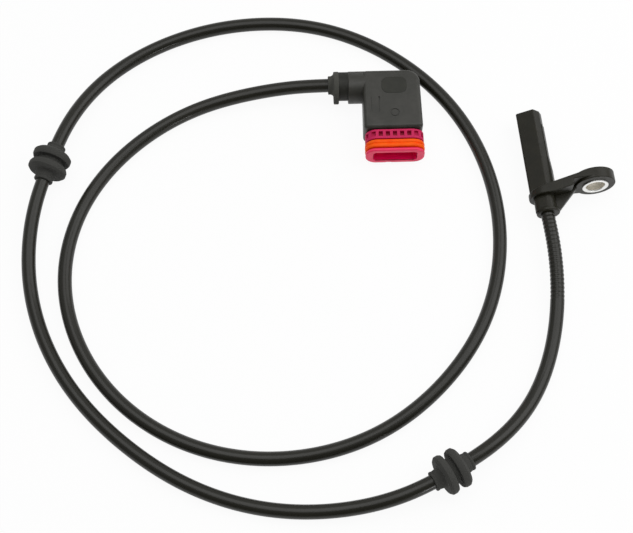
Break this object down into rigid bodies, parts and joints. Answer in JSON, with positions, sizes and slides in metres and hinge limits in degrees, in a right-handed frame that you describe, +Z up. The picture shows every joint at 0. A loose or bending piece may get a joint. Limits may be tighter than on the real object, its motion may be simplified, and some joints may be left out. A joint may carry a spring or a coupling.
{
  "type": "abs wheel speed sensor",
  "caption": "Wheel speed sensor with a square sensing tip, a bolt-on lug with a metal bush, a looped lead with rubber grommets and an angled sealed plug.",
  "frame": {"origin": "bottom centre of the sensor head's box, on the surface the sensor lies on", "axes": "+Y along the sensing tip towards its end, +X from the tip towards the lug's eye, +Z up"},
  "size_m": [0.2232, 0.2037, 0.0152],
  "materials": {
    "moulded_black": "satin moulded black with an olive cast",
    "bush_metal": "bright zinc plated",
    "carrier_plastic": "plain moulded",
    "chip_resin": "matte resin",
    "magnet": "plain ferrite",
    "copper": "bright copper alloy",
    "core_white": "smooth insulation",
    "core_brown": "smooth insulation",
    "lead_black": "glossy sheath",
    "grommet_rubber": "matte rubber",
    "housing_grey": "fine matte moulding",
    "rear_seal_rubber": "matte rubber",
    "magenta_plastic": "plain moulded",
    "orange_seal": "silicone",
    "contact_tin": "tin plated",
    "wire_seal_rubber": "silicone"
  },
  "bodies": {
    "root": {"sensor_housing": "moulded_black", "mounting_bush": "bush_metal", "chip_carrier": "carrier_plastic", "hall_chip": "chip_resin", "bias_magnet": "magnet", "chip_capacitor": "carrier_plastic", "lead_strip_1": "copper", "lead_strip_2": "copper", "core_crimp_1": "copper", "core_crimp_2": "copper", "head_core_1": "core_white", "head_core_2": "core_brown", "lead_jacket": "lead_black", "grommet_1": "grommet_rubber", "grommet_2": "grommet_rubber", "connector_housing": "housing_grey", "rear_seal": "rear_seal_rubber", "contact_carrier": "magenta_plastic", "secondary_lock": "magenta_plastic", "lip_seal": "orange_seal", "plug_contact_1": "contact_tin", "plug_contact_2": "contact_tin", "wire_seal_1": "wire_seal_rubber", "wire_seal_2": "wire_seal_rubber", "plug_core_1": "core_white", "plug_core_2": "core_brown"}
  },
  "joints": []
}
